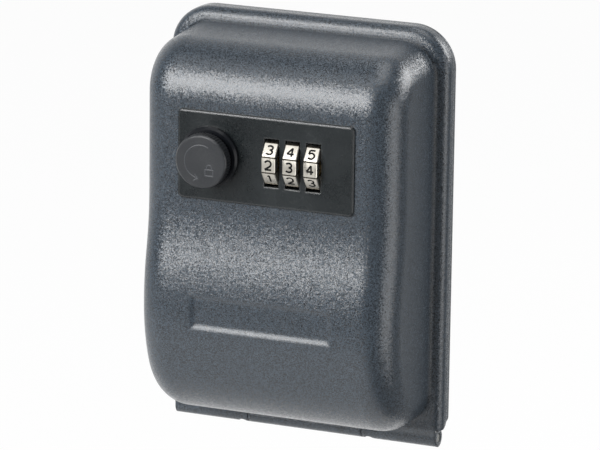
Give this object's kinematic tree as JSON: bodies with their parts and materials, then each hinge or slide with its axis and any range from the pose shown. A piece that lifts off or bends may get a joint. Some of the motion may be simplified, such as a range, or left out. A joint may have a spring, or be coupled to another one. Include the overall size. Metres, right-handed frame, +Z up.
{
  "type": "key lock box",
  "caption": "Wall-mounted key lock box: deep-drawn steel door on a bottom hinge, combination dials, turning knob and latch, back plate with screw holes.",
  "frame": {"origin": "on the wall plane, at the centre of the four wall screw holes in the back plate", "axes": "+Z up along the wall, +Y into the wall, +X to the right seen from the front; the front of the door faces -Y"},
  "size_m": [0.092, 0.0481, 0.1334],
  "materials": {
    "slate_coat": "fine textured powder coat",
    "lock_black": "satin powder coat",
    "knob_dark": "satin",
    "dial_nickel": "satin nickel",
    "brass_hub": "turned",
    "zinc_steel": "zinc plated",
    "spring_steel": "cold rolled",
    "lever_black": "matte"
  },
  "bodies": {
    "wall_side": {"back_plate": "slate_coat", "hinge_pin": "zinc_steel", "latch_catch": "zinc_steel", "catch_rivets": "zinc_steel"},
    "door": {"door_shell": "slate_coat", "lock_housing": "lock_black", "lock_rear_cover": "zinc_steel", "cover_screws": "zinc_steel", "knob_collar": "knob_dark", "dial_spindle": "zinc_steel", "dial_washer": "zinc_steel", "detent_spring": "spring_steel"},
    "knob_latch": {"knob": "knob_dark", "knob_shaft": "zinc_steel", "cam_spacer": "brass_hub", "latch_cam": "zinc_steel", "cam_nut": "zinc_steel"},
    "fence": {"fence_slide": "spring_steel"},
    "reset": {"reset_lever": "lever_black"},
    "dial_1": {"dial_ring_1": "dial_nickel", "dial_hub_1": "brass_hub"},
    "dial_2": {"dial_ring_2": "dial_nickel", "dial_hub_2": "brass_hub"},
    "dial_3": {"dial_ring_3": "dial_nickel", "dial_hub_3": "brass_hub"}
  },
  "joints": [
    {"name": "door_hinge", "type": "hinge", "parent": "wall_side", "child": "door", "pos_m": [0, -0.0032, -0.066], "axis": [1, 0, 0], "range_deg": [0, 115]},
    {"name": "knob_turn", "type": "hinge", "parent": "door", "child": "knob_latch", "pos_m": [-0.01785, -0.03, 0.0266], "axis": [0, 1, 0], "range_deg": [0, 90]},
    {"name": "fence_lift", "type": "slide", "parent": "door", "child": "fence", "axis": [0, 0, 1], "range_m": [0, 0.0015]},
    {"name": "reset_slide", "type": "slide", "parent": "door", "child": "reset", "axis": [1, 0, 0], "range_m": [0, 0.003]},
    {"name": "dial_1_turn", "type": "hinge", "parent": "door", "child": "dial_1", "pos_m": [0.00215, -0.03584, 0.0266], "axis": [1, 0, 0], "continuous": true},
    {"name": "dial_2_turn", "type": "hinge", "parent": "door", "child": "dial_2", "pos_m": [0.00893, -0.03584, 0.0266], "axis": [1, 0, 0], "continuous": true},
    {"name": "dial_3_turn", "type": "hinge", "parent": "door", "child": "dial_3", "pos_m": [0.01571, -0.03584, 0.0266], "axis": [1, 0, 0], "continuous": true}
  ],
  "couplings": [
    {"joint": "fence_lift", "follows": "knob_turn", "m_per_rad": 0.00095483}
  ]
}
